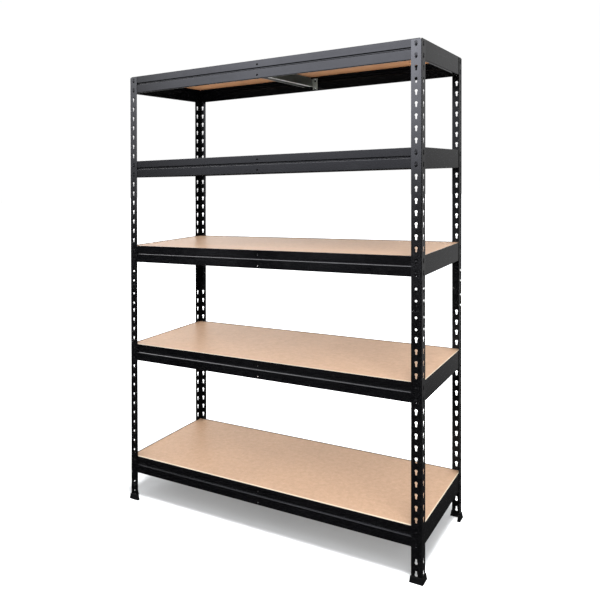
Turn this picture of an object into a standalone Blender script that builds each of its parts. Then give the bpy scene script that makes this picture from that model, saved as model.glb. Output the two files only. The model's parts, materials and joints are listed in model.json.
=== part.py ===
"""Boltless steel shelving: five MDF shelves in rivet-and-keyhole steel frames.

World frame: X runs along the width (positive to the right), Y runs from the
front (negative) to the back, Z is up, and the floor is Z = 0.  The origin is
the centre of the footprint on the floor.  All lengths are metres.
"""
import math

import bmesh
import bpy
from mathutils import Matrix

# ---------------------------------------------------------------- dimensions
WIDTH = 1.270            # over the outer faces of the posts, along X
DEPTH = 0.500            # over the outer faces of the posts, along Y
GAP = 0.0003             # working clearance between touching pieces
PITCH = 0.040            # keyhole spacing, shared by all that hooks into them

# corner posts: equal angle, two identical halves per corner
HALF_LENGTH = 0.900      # nominal length of one post half
POST_FLANGE = 0.037      # outer width of each flange
POST_T = 0.0012          # sheet thickness
INSIDE_POST = POST_T + GAP        # from the outer post face to a piece behind it

# keyholes
HOLE_INSET = 0.0195      # keyhole column, from the outer corner
FIRST_HOLE = 0.0147      # first keyhole centre below the top end
HOLES = 20               # upright keyholes in each half
INVERTED = (0.8319, 0.8319 + PITCH)   # upside-down keyholes, below the top end
KEYHOLE_SIDE = (         # right side, upwards: (half width, height from centre)
    (0.0026, -0.0093),
    (0.0037, -0.0004),
    (0.0050, 0.0056),
    (0.0026, 0.0095),
)
HOLE_OVERRUN = 0.001     # cutter beyond each face of the sheet

# feet
FOOT_BASE = 0.0030       # plastic under the post
FOOT_HEIGHT = 0.021
FOOT_RINGS = (           # (spread beyond the post section, height)
    (0.0058, 0.0),
    (0.0056, 0.003),
    (0.0031, FOOT_HEIGHT - 0.0035),
    (0.0022, FOOT_HEIGHT),
    (GAP, FOOT_HEIGHT),
    (GAP, FOOT_BASE),
)

# splices joining the post halves
SPLICE_FLANGE = 0.028
SPLICE_T = 0.0015
SPLICE_UP = 0.0867       # above the joint between the halves
SPLICE_DOWN = 0.0733     # below the joint
SPLICE_SEAT = 0.0061     # rivet from the keyhole centre, towards the narrow end

# beams
BEAM_HEIGHT = 0.070
BEAM_T = 0.0010          # sheet thickness
LEDGE_DROP = 0.011       # board ledge below the top of the beam
LEDGE_REACH = 0.020      # ledge, inward from the outer face
LEDGE_LIP = 0.006        # turned-down lip of the ledge
BOTTOM_REACH = 0.010     # lower return flange
BEAM_END = 0.0065        # beam end short of the outer corner plane
LEDGE_END = 0.025        # ledge and lower flange cut back at the corners
BEAM_ABOVE_HOLE = 0.018  # beam top above the centre of its upper keyhole
RIVET_DROPS = (0.020, 0.020 + PITCH)      # rivets below the beam top

# groove and middle holes of the long beams
GROOVE_TOP = 0.0282      # edges of the groove, below the beam top
GROOVE_BOTTOM = 0.0358
GROOVE_DEPTH = 0.0030
GROOVE_SLOPE = 0.0024    # height of each sloping side
GROOVE_SHIFT = 0.0005    # inner edges, up or down from the outer ones
MID_HOLE_DROPS = (0.017, 0.017 + PITCH)   # below the beam top
MID_HOLE_R = 0.0040
MID_HOLE_SIDES = 8
MID_HOLE_CUT = (-0.002, 0.0016)           # cutter ends, inward from the face

# rivets
RIVET_SIDES = 6
SHANK_R = 0.0031
HEAD_R = 0.0047
HEAD_TOP_R = 0.0026
HEAD_H = 0.0016
SPLICE_SHANK_R = 0.0024
SPLICE_HEAD_R = 0.0045
BEAM_RIVET_ROOT = 0.0005     # shank sunk into the beam sheet
SPLICE_RIVET_ROOT = 0.0007   # shank sunk into the splice sheet

# boards
BOARD_T = 0.009
BOARD_SIDE = 0.0005      # clearance to the beam rims all round

# centre bars; drops are below the beam top
BAR_WEB_X = -0.0125      # web face that carries the end tabs
BAR_FLANGE = 0.038
BAR_T = 0.0010
BAR_TOP = 0.0123
BAR_BOTTOM = 0.0520
BAR_LIP = 0.008
BAR_CLEAR = 0.0005       # channel short of the beam ledge

# extensions of the bar web to the tabs
WEB_END_TOP = 0.0190
WEB_END_RAISE = 0.0003   # above the underside of the channel
WEB_END_OVERLAP = 0.004  # back into the channel
WEB_END_SHORT = 0.0002   # short of the outer face of the tab
WEB_END_TRIM = 0.00004   # off each side face, so that no faces coincide

# tabs, with tongues bent out of windows
TAB_WIDTH = 0.025
TAB_TOP = 0.0140
TAB_BOTTOM = 0.0650
TAB_T = 0.0012
TAB_CLEAR = 0.0004       # tab to the back of the groove
TONGUE_BELOW_HOLE = 0.0027   # window top below the centre of the middle hole
WINDOW_TOPS = tuple(drop + TONGUE_BELOW_HOLE for drop in MID_HOLE_DROPS)
WINDOW_BOTTOMS = (0.0320, 0.0700)         # the lower one opens through the tab end
WINDOW_HALF_WIDTH = 0.0040
WINDOW_OVERRUN = 0.002   # cutter beyond each face of the tab
TONGUE_HALF_WIDTH = 0.0022
TONGUE_LOW = 0.0001      # tongue faces above the window top
TONGUE_HIGH = 0.0012
TONGUE_SHORT = 0.0003    # tongue ends short of the tab and beam faces

WELD_DISTANCE = 0.000002     # merges stray vertices left by a Boolean

# heights
JOINT_Z = FOOT_BASE + HALF_LENGTH
HALF_TOP = {"lower": JOINT_Z, "upper": JOINT_Z + HALF_LENGTH}
# shelves, lowest first: (post half, index of the keyhole for the upper rivet)
LEVELS = (("lower", 18), ("lower", 6), ("upper", 18), ("upper", 9), ("upper", 0))

CORNERS = {              # name: (x sign, y sign, quarter turns)
    "front_right": (1, -1, 0),
    "back_right": (1, 1, 1),
    "back_left": (-1, 1, 2),
    "front_left": (-1, -1, 3),
}


# ----------------------------------------------------------------- materials
def make_material(name, colour, roughness, metallic):
    material = bpy.data.materials.new(name)
    material.use_nodes = True
    shader = material.node_tree.nodes["Principled BSDF"]
    shader.inputs["Base Color"].default_value = (*colour, 1.0)
    shader.inputs["Roughness"].default_value = roughness
    shader.inputs["Metallic"].default_value = metallic
    material.diffuse_color = (*colour, 1.0)
    return material


# ---------------------------------------------------------------- mesh tools
def finish_mesh(name, body):
    bmesh.ops.recalc_face_normals(body, faces=body.faces)
    mesh = bpy.data.meshes.new(name)
    body.to_mesh(mesh)
    body.free()
    return mesh


def loft(body, rings):
    """Closed skin through rings of points that all have the same count."""
    rings = [[body.verts.new(point) for point in ring] for ring in rings]
    body.faces.new(rings[0])
    body.faces.new(list(reversed(rings[-1])))
    count = len(rings[0])
    for low, high in zip(rings, rings[1:]):
        for i in range(count):
            j = (i + 1) % count
            body.faces.new((low[j], low[i], high[i], high[j]))


def prism(body, outline, low, high, to_local=lambda x, y, z: (x, y, z)):
    """Prism of a 2-D outline between two levels; to_local maps its three
    coordinates, the level last, to the mesh frame."""
    loft(body, [[to_local(*point, level) for point in outline] for level in (low, high)])


def box(body, x_range, y_range, z_range):
    (x0, x1), (y0, y1) = x_range, y_range
    prism(body, [(x0, y0), (x1, y0), (x1, y1), (x0, y1)], *z_range)


def polygon(radius, sides, start=0.0):
    """Regular polygon; start is the angle of its first corner in degrees."""
    angles = [math.radians(start + 360 / sides * k) for k in range(sides)]
    return [(radius * math.cos(angle), radius * math.sin(angle)) for angle in angles]


def angle_outline(outer, inner, reach):
    """L section with arms along -X and +Y, all measured in from the corner."""
    return [(-outer, outer), (-outer, reach), (-inner, reach),
            (-inner, inner), (-reach, inner), (-reach, outer)]


def combine(base, tool, operation):
    """Exact Boolean of two meshes, returned as one new mesh."""
    base_body = bpy.data.objects.new("base_body", base)
    tool_body = bpy.data.objects.new("tool_body", tool)
    for obj in (base_body, tool_body):
        bpy.context.scene.collection.objects.link(obj)
    modifier = base_body.modifiers.new("combine", "BOOLEAN")
    modifier.operation = operation
    modifier.solver = "EXACT"
    modifier.object = tool_body
    bpy.context.view_layer.update()
    graph = bpy.context.evaluated_depsgraph_get()
    mesh = bpy.data.meshes.new_from_object(base_body.evaluated_get(graph))
    mesh.name = base.name
    for obj in (base_body, tool_body):
        bpy.data.objects.remove(obj, do_unlink=True)
    body = bmesh.new()
    body.from_mesh(mesh)
    bmesh.ops.remove_doubles(body, verts=body.verts, dist=WELD_DISTANCE)
    bmesh.ops.dissolve_degenerate(body, edges=body.edges, dist=WELD_DISTANCE)
    body.to_mesh(mesh)
    body.free()
    return mesh


def rivet(body, shank_r, head_r, root, face, to_local):
    """Hexagonal rivet: shank from depth root to face, then a chamfered head.

    to_local maps (across, up, depth); depth decreases towards the outside."""
    stations = ((shank_r, root), (shank_r, face), (head_r, face),
                (HEAD_TOP_R, face - HEAD_H))
    loft(body, [[to_local(*point, depth) for point in polygon(radius, RIVET_SIDES)]
                for radius, depth in stations])


def flange_maps(height):
    """Maps (across, up, depth) to the hole column of each post flange."""
    return (lambda across, up, depth: (-HOLE_INSET + across, depth, height + up),
            lambda across, up, depth: (-depth, HOLE_INSET + across, height + up))


# --------------------------------------------------------- posts and their ends
def post_mesh():
    """One post half. Its top outer corner is the local origin."""
    body = bmesh.new()
    prism(body, angle_outline(0, POST_T, POST_FLANGE), -(HALF_LENGTH - GAP), 0.0)
    base = finish_mesh("post_half", body)

    keyhole = list(KEYHOLE_SIDE) + [(-x, y) for x, y in reversed(KEYHOLE_SIDE)]
    centres = [(-(FIRST_HOLE + PITCH * i), 1) for i in range(HOLES)]
    centres += [(-drop, -1) for drop in INVERTED]
    body = bmesh.new()
    for height, way_up in centres:
        outline = [(across, way_up * up) for across, up in keyhole]
        for to_local in flange_maps(height):
            prism(body, outline, -HOLE_OVERRUN, POST_T + HOLE_OVERRUN, to_local)
    return combine(base, finish_mesh("keyholes", body), "DIFFERENCE")


def splice_mesh():
    """Angle plate inside a post, with the rivets that hook the two halves.

    The origin is the outer corner of the post at the joint of the halves."""
    body = bmesh.new()
    outline = angle_outline(INSIDE_POST, INSIDE_POST + SPLICE_T,
                            INSIDE_POST + SPLICE_FLANGE)
    prism(body, outline, -SPLICE_DOWN, SPLICE_UP)
    base = finish_mesh("splice", body)

    heights = [HALF_LENGTH - drop + SPLICE_SEAT for drop in INVERTED]
    heights += [-FIRST_HOLE - PITCH * i - SPLICE_SEAT for i in range(2)]
    body = bmesh.new()
    for height in heights:
        for to_local in flange_maps(height):
            rivet(body, SPLICE_SHANK_R, SPLICE_HEAD_R,
                  INSIDE_POST + SPLICE_RIVET_ROOT, -GAP, to_local)
    return combine(base, finish_mesh("splice_rivets", body), "UNION")


def foot_mesh():
    """Plastic cap with an L-shaped slot for the end of the post."""
    body = bmesh.new()
    rings = []
    for spread, z in FOOT_RINGS:
        outline = angle_outline(-spread, POST_T + spread, POST_FLANGE + spread)
        rings.append([(x, y, z) for x, y in outline])
    loft(body, rings)
    return finish_mesh("foot", body)


# --------------------------------------------------------------------- beams
def beam_section(grooved):
    """Points (inward, up, in the web), down the outside and up the inside.

    Points in the web run to the beam ends; the others stop at the cut-back."""
    sheet, groove_back = BEAM_T, GROOVE_DEPTH + BEAM_T
    groove_outside = [
        (0, -GROOVE_TOP, True),
        (GROOVE_DEPTH, -GROOVE_TOP - GROOVE_SLOPE, True),
        (GROOVE_DEPTH, -GROOVE_BOTTOM + GROOVE_SLOPE, True),
        (0, -GROOVE_BOTTOM, True)]
    groove_inside = [
        (sheet, -GROOVE_BOTTOM - GROOVE_SHIFT, True),
        (groove_back, -GROOVE_BOTTOM + GROOVE_SLOPE - GROOVE_SHIFT, True),
        (groove_back, -GROOVE_TOP - GROOVE_SLOPE + GROOVE_SHIFT, True),
        (sheet, -GROOVE_TOP + GROOVE_SHIFT, True)]
    lower_flange = [
        (0, -BEAM_HEIGHT, True),
        (sheet, -BEAM_HEIGHT, True),
        (BOTTOM_REACH, -BEAM_HEIGHT, False),
        (BOTTOM_REACH, -BEAM_HEIGHT + sheet, False),
        (sheet, -BEAM_HEIGHT + sheet, True)]
    underside = -LEDGE_DROP - sheet
    ledge_and_rim = [
        (sheet, underside, True),
        (2 * sheet, underside, True),
        (LEDGE_REACH - sheet, underside, False),
        (LEDGE_REACH - sheet, underside - LEDGE_LIP, False),
        (LEDGE_REACH, underside - LEDGE_LIP, False),
        (LEDGE_REACH, -LEDGE_DROP, False),
        (2 * sheet, -LEDGE_DROP, True),
        (2 * sheet, 0, True)]
    if not grooved:
        groove_outside, groove_inside = [], []
    return [(0, 0, True)] + groove_outside + lower_flange + groove_inside + ledge_and_rim


def beam_body_mesh(name, span, grooved):
    """Bare beam: full section in the middle, only the web at the ends."""
    section = beam_section(grooved)
    count = len(section)
    web = [i for i in range(count) if section[i][2]]
    full_x, end_x = span / 2 - LEDGE_END, span / 2 - BEAM_END
    body = bmesh.new()
    full, end = {}, {}
    for side in (-1, 1):
        full[side] = [body.verts.new((side * full_x, y, z)) for y, z, _ in section]
        end[side] = {i: body.verts.new((side * end_x, *section[i][:2])) for i in web}
    for i in range(count):
        j = (i + 1) % count
        body.faces.new((full[-1][i], full[-1][j], full[1][j], full[1][i]))
    for side in (-1, 1):
        body.faces.new([end[side][i] for i in web])
        for i, j in zip(web, web[1:] + web[:1]):
            body.faces.new((full[side][i], full[side][j], end[side][j], end[side][i]))
            steps = (j - i) % count
            if steps > 1:        # cut end of the ledge or the lower flange
                body.faces.new([full[side][k % count] for k in range(i, i + steps + 1)])
    return finish_mesh(name, body)


def beam_mesh(name, span, grooved):
    """Beam with a board ledge and four rivets; a grooved one has middle holes.

    Local X runs along the beam, the outer face is Y = 0 facing -Y and the
    top edge is Z = 0.  span is the distance over the outer post faces."""
    mesh = beam_body_mesh(name, span, grooved)
    body = bmesh.new()
    for side in (-1, 1):
        centre = side * (span / 2 - HOLE_INSET)
        for drop in RIVET_DROPS:
            rivet(body, SHANK_R, HEAD_R, BEAM_RIVET_ROOT, -(INSIDE_POST + GAP),
                  lambda across, up, depth: (centre + across, depth, up - drop))
    mesh = combine(mesh, finish_mesh("beam_rivets", body), "UNION")
    if grooved:
        circle = polygon(MID_HOLE_R, MID_HOLE_SIDES, start=180 / MID_HOLE_SIDES)
        body = bmesh.new()
        for drop in MID_HOLE_DROPS:
            prism(body, circle, *MID_HOLE_CUT,
                  lambda across, up, depth: (across, depth, up - drop))
        mesh = combine(mesh, finish_mesh("mid_holes", body), "DIFFERENCE")
    return mesh


# --------------------------------------------------------------- centre bars
def end_boxes_mesh(name, boxes):
    """Boxes (x range, y range, z range) at the back, mirrored to the front."""
    body = bmesh.new()
    for side in (-1, 1):
        for x_range, y_range, z_range in boxes:
            box(body, x_range, sorted(side * y for y in y_range), z_range)
    return finish_mesh(name, body)


def channel_mesh(half_length):
    """Channel with its web on the right, flanges to the left, upturned lip."""
    right, left = BAR_WEB_X, BAR_WEB_X - BAR_FLANGE
    top, bottom = -BAR_TOP, -BAR_BOTTOM
    section = [(right, top), (right, bottom), (left, bottom), (left, bottom + BAR_LIP),
               (left + BAR_T, bottom + BAR_LIP), (left + BAR_T, bottom + BAR_T),
               (right - BAR_T, bottom + BAR_T), (right - BAR_T, top - BAR_T),
               (left, top - BAR_T), (left, top)]
    body = bmesh.new()
    prism(body, section, -half_length, half_length, lambda x, z, y: (x, y, z))
    return finish_mesh("centre_bar", body)


def bar_mesh():
    """Galvanised channel under a board, with a tab at each end.

    Each tab lies inside a long beam; its two bent tongues stand in the beam's
    middle holes, above the windows they were cut from."""
    beam_face_y = DEPTH / 2 - INSIDE_POST
    tab_outer = beam_face_y - BEAM_T - GROOVE_DEPTH - TAB_CLEAR
    tab_inner = tab_outer - TAB_T
    channel_end = beam_face_y - LEDGE_REACH - BAR_CLEAR
    web_left = BAR_WEB_X - BAR_T

    web_ends = [((web_left + WEB_END_TRIM, BAR_WEB_X - WEB_END_TRIM),
                 (channel_end - WEB_END_OVERLAP, tab_outer - WEB_END_SHORT),
                 (-BAR_BOTTOM + WEB_END_RAISE, -WEB_END_TOP))]
    tabs = [((web_left, web_left + TAB_WIDTH), (tab_inner, tab_outer),
             (-TAB_BOTTOM, -TAB_TOP))]
    windows = [((-WINDOW_HALF_WIDTH, WINDOW_HALF_WIDTH),
                (tab_inner - WINDOW_OVERRUN, tab_outer + WINDOW_OVERRUN),
                (-bottom, -top)) for top, bottom in zip(WINDOW_TOPS, WINDOW_BOTTOMS)]
    tongues = [((-TONGUE_HALF_WIDTH, TONGUE_HALF_WIDTH),
                (tab_inner + TONGUE_SHORT, beam_face_y - TONGUE_SHORT),
                (-top + TONGUE_LOW, -top + TONGUE_HIGH)) for top in WINDOW_TOPS]

    mesh = channel_mesh(channel_end)
    for name, boxes, operation in (("web_ends", web_ends, "UNION"),
                                   ("tabs", tabs, "UNION"),
                                   ("windows", windows, "DIFFERENCE"),
                                   ("tongues", tongues, "UNION")):
        mesh = combine(mesh, end_boxes_mesh(name, boxes), operation)
    return mesh


# -------------------------------------------------------------------- boards
def board_mesh():
    inset = INSIDE_POST + 2 * BEAM_T + BOARD_SIDE
    half_x, half_y = WIDTH / 2 - inset, DEPTH / 2 - inset
    body = bmesh.new()
    box(body, (-half_x, half_x), (-half_y, half_y), (0.0, BOARD_T))
    return finish_mesh("board", body)


# ----------------------------------------------------------------- placement
def attach(obj, parent):
    """Parent an object without moving it."""
    obj.parent = parent
    obj.matrix_parent_inverse = parent.matrix_world.inverted()


def place(name, mesh, material, where, quarters=0, parent=None):
    obj = bpy.data.objects.new(name, mesh)
    bpy.context.scene.collection.objects.link(obj)
    if not mesh.materials:
        mesh.materials.append(material)
    obj.matrix_world = (Matrix.Translation(where)
                        @ Matrix.Rotation(math.radians(90 * quarters), 4, "Z"))
    if parent is not None:
        attach(obj, parent)


def guide(name, where, parent=None):
    """Empty that carries the pieces of a shelf."""
    empty = bpy.data.objects.new(name, None)
    empty.empty_display_size = 0.05
    bpy.context.scene.collection.objects.link(empty)
    empty.location = where
    if parent is not None:
        attach(empty, parent)
    bpy.context.view_layer.update()
    return empty


def build_corners(black, plastic):
    post, splice, foot = post_mesh(), splice_mesh(), foot_mesh()
    for corner, (x_sign, y_sign, quarters) in CORNERS.items():
        x, y = x_sign * WIDTH / 2, y_sign * DEPTH / 2
        place(f"foot_{corner}", foot, plastic, (x, y, 0.0), quarters)
        for half, top in HALF_TOP.items():
            place(f"post_{corner}_{half}", post, black, (x, y, top), quarters)
        place(f"splice_{corner}", splice, black, (x, y, JOINT_Z), quarters)


def build_shelves(black, zinc, mdf):
    long_beam = beam_mesh("long_beam", WIDTH, True)
    short_beam = beam_mesh("short_beam", DEPTH, False)
    bar, board = bar_mesh(), board_mesh()
    face_x, face_y = WIDTH / 2 - INSIDE_POST, DEPTH / 2 - INSIDE_POST
    beams = (            # name, mesh, x, y, quarter turns
        ("beam_front", long_beam, 0.0, -face_y, 0),
        ("beam_back", long_beam, 0.0, face_y, 2),
        ("side_beam_right", short_beam, face_x, 0.0, 1),
        ("side_beam_left", short_beam, -face_x, 0.0, 3),
    )
    for number, (half, index) in enumerate(LEVELS, start=1):
        top = HALF_TOP[half] - FIRST_HOLE - PITCH * index + BEAM_ABOVE_HOLE
        lift = guide(f"shelf_{number}_lift_axis", (0.0, 0.0, top))
        for name, mesh, x, y, quarters in beams:
            place(f"{name}_shelf_{number}", mesh, black, (x, y, top), quarters, lift)
        place(f"centre_bar_shelf_{number}", bar, zinc, (0.0, 0.0, top), parent=lift)
        seat = (0.0, 0.0, top - LEDGE_DROP + GAP)
        tray = guide(f"board_{number}_lift_axis", seat, lift)
        place(f"board_shelf_{number}", board, mdf, seat, parent=tray)


for old in list(bpy.data.objects):
    bpy.data.objects.remove(old, do_unlink=True)

powder_coat = make_material("black_powder_coat", colour=(0.035, 0.036, 0.040),
                            roughness=0.45, metallic=0.0)
zinc_plate = make_material("zinc_plate", colour=(0.72, 0.72, 0.70),
                           roughness=0.35, metallic=1.0)
mdf_board = make_material("mdf_board", colour=(0.76, 0.60, 0.46),
                          roughness=0.75, metallic=0.0)
black_plastic = make_material("black_plastic", colour=(0.020, 0.020, 0.022),
                              roughness=0.50, metallic=0.0)

build_corners(powder_coat, black_plastic)
build_shelves(powder_coat, zinc_plate, mdf_board)
bpy.context.view_layer.update()
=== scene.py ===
"""Boltless steel shelving: fine meshes, finishes, floor, lights and camera.

The unit stands upright round the world Z axis: X runs along the shelves
(+X is right), -Y is the front and +Z is up.  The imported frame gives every
place and overall length; the constants here are the sheet-metal details.
All lengths are metres.
"""
from collections import namedtuple
import json
import math

import bmesh
import bpy
import numpy as np
from mathutils import Matrix, Vector


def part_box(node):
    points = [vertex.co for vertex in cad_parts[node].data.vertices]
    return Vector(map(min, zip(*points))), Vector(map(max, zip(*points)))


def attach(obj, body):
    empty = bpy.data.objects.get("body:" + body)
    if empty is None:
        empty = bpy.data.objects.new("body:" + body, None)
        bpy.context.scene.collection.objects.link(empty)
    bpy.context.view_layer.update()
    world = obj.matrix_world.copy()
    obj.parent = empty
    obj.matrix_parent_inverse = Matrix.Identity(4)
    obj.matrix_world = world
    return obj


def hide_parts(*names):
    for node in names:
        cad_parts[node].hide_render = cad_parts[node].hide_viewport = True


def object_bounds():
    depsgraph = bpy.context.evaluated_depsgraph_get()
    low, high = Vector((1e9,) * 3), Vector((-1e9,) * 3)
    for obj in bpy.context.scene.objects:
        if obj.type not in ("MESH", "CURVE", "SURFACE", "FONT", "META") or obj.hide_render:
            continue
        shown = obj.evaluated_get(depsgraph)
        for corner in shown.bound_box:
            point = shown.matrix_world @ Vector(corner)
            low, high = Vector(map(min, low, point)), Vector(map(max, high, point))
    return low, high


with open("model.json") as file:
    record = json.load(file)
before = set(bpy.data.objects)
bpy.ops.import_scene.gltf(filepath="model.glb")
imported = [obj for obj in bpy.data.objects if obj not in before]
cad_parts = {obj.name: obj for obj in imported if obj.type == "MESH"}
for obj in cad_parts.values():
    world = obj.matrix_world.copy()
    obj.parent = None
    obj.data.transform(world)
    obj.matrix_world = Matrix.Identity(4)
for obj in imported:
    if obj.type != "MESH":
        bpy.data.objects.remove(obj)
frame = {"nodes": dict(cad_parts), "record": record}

CAD_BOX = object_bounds()

MM = 0.001

# Posts and their keyholes
POST_T = 1.2 * MM           # post sheet
POST_LENGTH = 900.0 * MM    # one half of a post
HOLE_INSET = 19.5 * MM      # keyhole column, from the outer corner
PITCH = 40.0 * MM
FIRST_HOLE = 14.7 * MM      # below the top of each post half
HOLES = 20
INVERTED = (831.9 * MM, 831.9 * MM + PITCH)   # drops of the upside-down keyholes

# Splices
SEAT = 1.5 * MM             # splice face behind the post's outer face
SPLICE_T = 1.5 * MM
SPLICE_FLANGE = 28.0 * MM
SPLICE_RIVET_OFFSET = 6.1 * MM   # from the keyhole centre, towards its slot

# Beams
BEAM_T = 1.0 * MM
BEAM_END_GAP = 6.5 * MM     # beam end to the post's outer corner
LEDGE_REACH = 20.0 * MM
LEDGE_CUT = 18.5 * MM       # ledge ends short of the beam end
RIVET_DROPS = (20.0 * MM, 20.0 * MM + PITCH)
MID_DROPS = (17.0 * MM, 57.0 * MM)   # round holes at mid-length
MID_R = 4.0 * MM

# Centre bar, with Z = 0 at the beam top
BAR_T = 1.0 * MM
BAR_RIGHT = -12.5 * MM      # right face of the channel web
BAR_TOP = -12.3 * MM
BAR_LOW = -52.0 * MM
TAB_T = 1.2 * MM

# Mesh spacing
LEAST_GAP = 0.02 * MM       # closer grid lines are merged
BEND_STEP = 11.25           # degrees of a bend between grid lines
BEND_SUPPORT = 0.7 * MM     # grid line beside each bend
END_LINE = 2.0 * MM         # grid line inside a cut end
EDGE_LINE = 1.5 * MM        # grid line inside a long edge

Line = namedtuple("Line", "start end origin direction")
Arc = namedtuple("Arc", "start end centre radius sign direction")
# s, v: centre; half_s, half_v: grid block it replaces; reach: radius by angle
Hole = namedtuple("Hole", "s v half_s half_v reach")


# ------------------------------------------------------------- folded sheets
class Fold:
    """Centre line of a folded sheet, with rounded corners, measured along s."""

    def __init__(self, corners, radii):
        points = [Vector(corner) for corner in corners]
        last = len(points) - 1
        trims = [0.0] * len(points)     # straight length a bend takes up
        bends = [None] * len(points)    # radius, turn, direction before it
        for i in range(1, last):
            before = (points[i] - points[i - 1]).normalized()
            after = (points[i + 1] - points[i]).normalized()
            turn = math.atan2(before.x * after.y - before.y * after.x, before.dot(after))
            trims[i] = radii[i - 1] * math.tan(abs(turn) / 2)
            bends[i] = (radii[i - 1], turn, before)
        self.parts, self.corner_s, s = [], [], 0.0
        for i in range(last):
            along = points[i + 1] - points[i]
            length = along.length - trims[i] - trims[i + 1]
            along.normalize()
            self.corner_s.append(s - trims[i])
            if length > 1e-7:
                self.parts.append(Line(s, s + length, points[i] + along * trims[i], along))
                s += length
            if i + 1 < last:
                radius, turn, before = bends[i + 1]
                sign = 1.0 if turn > 0 else -1.0
                left = Vector((-before.y, before.x))
                centre = points[i + 1] - before * trims[i + 1] + left * (sign * radius)
                end = s + radius * abs(turn)
                self.parts.append(Arc(s, end, centre, radius, sign, before))
                s = end
        self.length = s

    def along(self, leg, distance):
        """s of a point on a leg, by its distance from that leg's first corner."""
        return self.corner_s[leg] + distance

    def at(self, s):
        """Point and left normal at s."""
        for part in self.parts:
            if s <= part.end + 1e-9:
                break
        ahead = part.direction
        if isinstance(part, Line):
            return part.origin + ahead * (s - part.start), Vector((-ahead.y, ahead.x))
        turn = part.sign * (s - part.start) / part.radius
        cos, sin = math.cos(turn), math.sin(turn)
        left = Vector((-ahead.x * sin - ahead.y * cos, ahead.x * cos - ahead.y * sin))
        return part.centre - left * (part.sign * part.radius), left

    def lines(self, extra=()):
        """Grid lines for the bends, with any extra ones."""
        out = {0.0, self.length}
        for part in self.parts:
            start, end = part.start, part.end
            out |= {start, end}
            if isinstance(part, Arc):
                degrees = math.degrees((end - start) / part.radius)
                count = max(2, math.ceil(degrees / BEND_STEP))
                out |= {start + (end - start) * k / count for k in range(1, count)}
            elif end - start > 3 * BEND_SUPPORT:
                out |= {start + BEND_SUPPORT, end - BEND_SUPPORT}
        return tidy(list(out) + list(extra))


def tidy(values):
    """Sorted values without near repeats."""
    kept = []
    for value in sorted(values):
        if not kept or value - kept[-1] > LEAST_GAP:
            kept.append(value)
    return kept


def cut_lines(centre, half, count):
    return [centre - half + 2 * half * k / count for k in range(count + 1)]


def flat_pattern(s_lines, v_lines, keep, holes):
    """Points (s, v) and faces of the unfolded sheet."""
    points, faces, index = [], [], {}
    cells = [(i, j) for i in range(len(s_lines) - 1) for j in range(len(v_lines) - 1)]
    solid = np.ones((len(s_lines) - 1, len(v_lines) - 1), bool)
    for i, j in cells:
        solid[i, j] = keep((s_lines[i] + s_lines[i + 1]) / 2,
                           (v_lines[j] + v_lines[j + 1]) / 2)

    def grid(i, j):
        if (i, j) not in index:
            index[i, j] = len(points)
            points.append((s_lines[i], v_lines[j]))
        return index[i, j]

    def nearest(lines, centre, half):
        return (int(np.argmin(abs(lines - x))) for x in (centre - half, centre + half))

    for s, v, half_s, half_v, reach in holes:
        i0, i1 = nearest(s_lines, s, half_s)
        j0, j1 = nearest(v_lines, v, half_v)
        solid[i0:i1, j0:j1] = False
        loop = ([(i, j0) for i in range(i0, i1)] + [(i1, j) for j in range(j0, j1)]
                + [(i, j1) for i in range(i1, i0, -1)]
                + [(i0, j) for j in range(j1, j0, -1)])
        outer = [grid(*cell) for cell in loop]
        inner = []
        for k in outer:
            out_s, out_v = points[k][0] - s, points[k][1] - v
            radius = reach(math.atan2(out_v, out_s))
            away = math.hypot(out_s, out_v)
            inner.append(len(points))
            points.append((s + out_s / away * radius, v + out_v / away * radius))
        for k in range(len(outer)):
            m = (k + 1) % len(outer)
            faces.append((outer[k], outer[m], inner[m], inner[k]))
    for i, j in cells:
        if solid[i, j]:
            faces.append((grid(i, j), grid(i + 1, j), grid(i + 1, j + 1), grid(i, j + 1)))
    return points, faces


def sheet(fold, thick, s_lines, v_lines, place, keep=lambda s, v: True, holes=(),
          rim=0.2 * MM):
    """Closed body of a folded sheet with rounded rims, as (points, faces)."""
    points, faces = flat_pattern(np.array(s_lines), np.array(v_lines), keep, holes)
    directed = {(f[k], f[(k + 1) % len(f)]) for f in faces for k in range(len(f))}
    border = sorted(e for e in directed if (e[1], e[0]) not in directed)
    inward = {}
    for a, b in border:
        edge = np.subtract(points[b], points[a])
        edge = edge / np.linalg.norm(edge)
        for k in (a, b):
            inward.setdefault(k, []).append(np.array((-edge[1], edge[0])))

    half = thick / 2
    eased = rim * (1 - math.sqrt(0.5))       # middle of the rim's rounding
    # inset and level of each point round the rim, from the left face to the right
    rim_steps = [(rim, half), (eased, half - eased), (0.0, half - rim),
                 (0.0, -half + rim), (eased, -half + eased), (rim, -half)]
    verts, first = [], []
    for k, (s, v) in enumerate(points):
        first.append(len(verts))
        if k in inward:
            one, other = inward[k][0], inward[k][-1]
            away = (one + other) / max(0.3, 1 + float(one @ other))
            for inset, level in rim_steps:
                rim_s, rim_v = s + away[0] * inset, v + away[1] * inset
                (x, y), normal = fold.at(min(max(rim_s, 0.0), fold.length))
                verts.append(place(x + normal.x * level, y + normal.y * level, rim_v))
        else:
            (x, y), normal = fold.at(s)
            for level in (half, -half):
                verts.append(place(x + normal.x * level, y + normal.y * level, v))

    def low(k):
        return first[k] + (5 if k in inward else 1)

    made = [tuple(first[k] for k in f) for f in faces]
    made += [tuple(low(k) for k in reversed(f)) for f in faces]
    for a, b in border:
        for k in range(5):
            made.append((first[b] + k, first[a] + k, first[a] + k + 1, first[b] + k + 1))
    return verts, made


# -------------------------------------------------------------- mesh helpers
def fill(draft, shell):
    verts, faces = shell
    made = [draft.verts.new(v) for v in verts]
    for f in faces:
        draft.faces.new([made[k] for k in f])


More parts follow.
